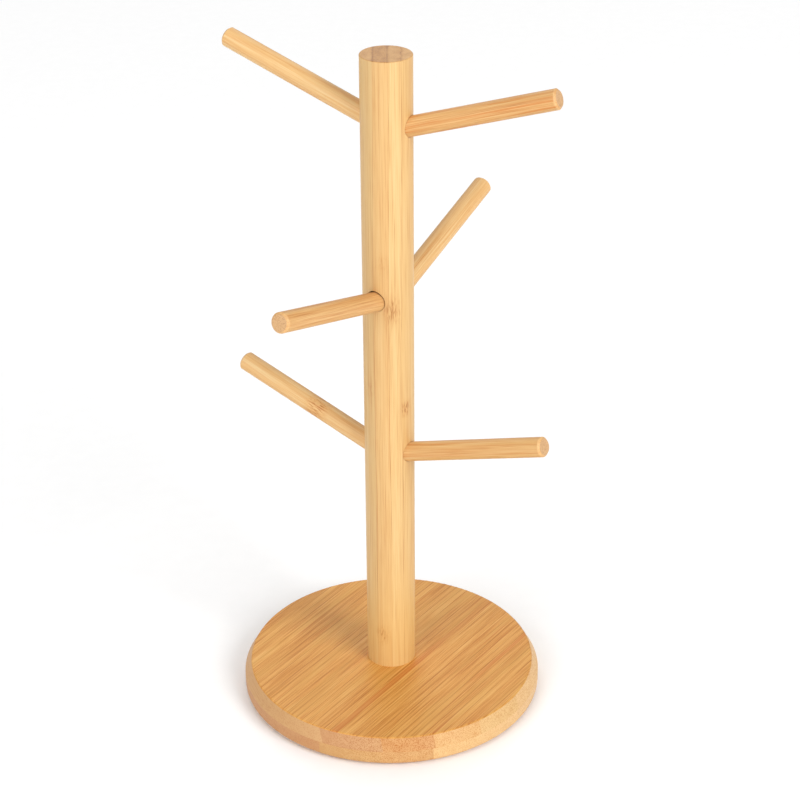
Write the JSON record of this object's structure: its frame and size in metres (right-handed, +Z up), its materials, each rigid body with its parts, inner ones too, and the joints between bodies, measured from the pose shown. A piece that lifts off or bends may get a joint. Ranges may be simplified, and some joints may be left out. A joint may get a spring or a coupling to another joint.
{
  "type": "mug tree",
  "caption": "Free-standing mug tree: a round chamfered board, a round upright post and plain slanted pegs in opposite pairs that hold mugs by their handles.",
  "frame": {"origin": "on the post's axis, on the surface that the stand rests on", "axes": "+Z up along the post; -Y is the front, the side seen in the picture, and +X is to its right"},
  "size_m": [0.1528, 0.1521, 0.3346],
  "materials": {
    "bamboo_board": "laminated bamboo, fine-sanded, thin satin lacquer",
    "bamboo_post": "laminated bamboo, turned and sanded, thin satin lacquer",
    "bamboo_peg": "bamboo dowel, sanded, thin satin lacquer",
    "zinc_plated_steel": "bright zinc plate, slightly dulled",
    "foam_pad": "matt closed-cell foam"
  },
  "bodies": {
    "root": {"base_board": "bamboo_board", "post": "bamboo_post", "peg_top_left": "bamboo_peg", "peg_top_right": "bamboo_peg", "peg_middle_left": "bamboo_peg", "peg_middle_right": "bamboo_peg", "peg_bottom_left": "bamboo_peg", "peg_bottom_right": "bamboo_peg", "base_screw": "zinc_plated_steel", "screw_washer": "zinc_plated_steel", "foot_pad_front_left": "foam_pad", "foot_pad_front_right": "foam_pad", "foot_pad_back_left": "foam_pad", "foot_pad_back_right": "foam_pad"}
  },
  "joints": []
}
